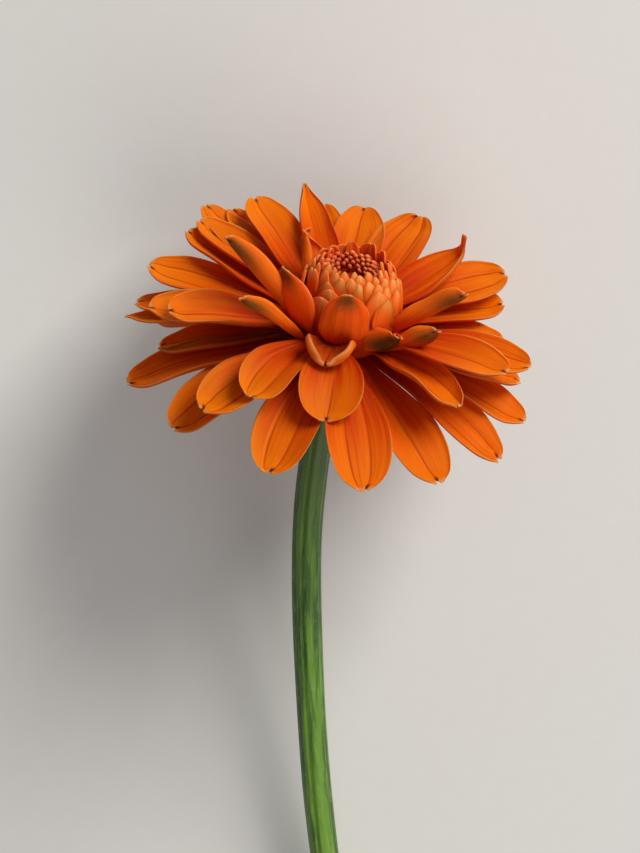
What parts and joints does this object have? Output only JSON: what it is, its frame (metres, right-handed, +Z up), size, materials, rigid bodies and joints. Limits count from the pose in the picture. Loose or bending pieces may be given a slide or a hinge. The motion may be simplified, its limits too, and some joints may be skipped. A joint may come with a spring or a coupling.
{
  "type": "chrysanthemum flower",
  "caption": "Single orange chrysanthemum bloom with layered ray florets and a closed bud centre, on a bare cut stem, lying on its side.",
  "frame": {"origin": "centre of the flower's bounding box, on the surface that it lies on", "axes": "+Y from the stem's cut end to the bloom, +Z up from the surface, +X to the right as seen from above with the bloom at the top"},
  "size_m": [0.0722, 0.1726, 0.0604],
  "materials": {
    "stem": "satin green plant skin with fine ribs",
    "involucre": "matt grey-green bracts",
    "ray_florets": "velvety orange petal",
    "centre_florets": "matt red-brown closed florets"
  },
  "bodies": {
    "root": {"stem": "stem", "involucre": "involucre", "ray_florets": "ray_florets", "centre_florets": "centre_florets"}
  },
  "joints": []
}
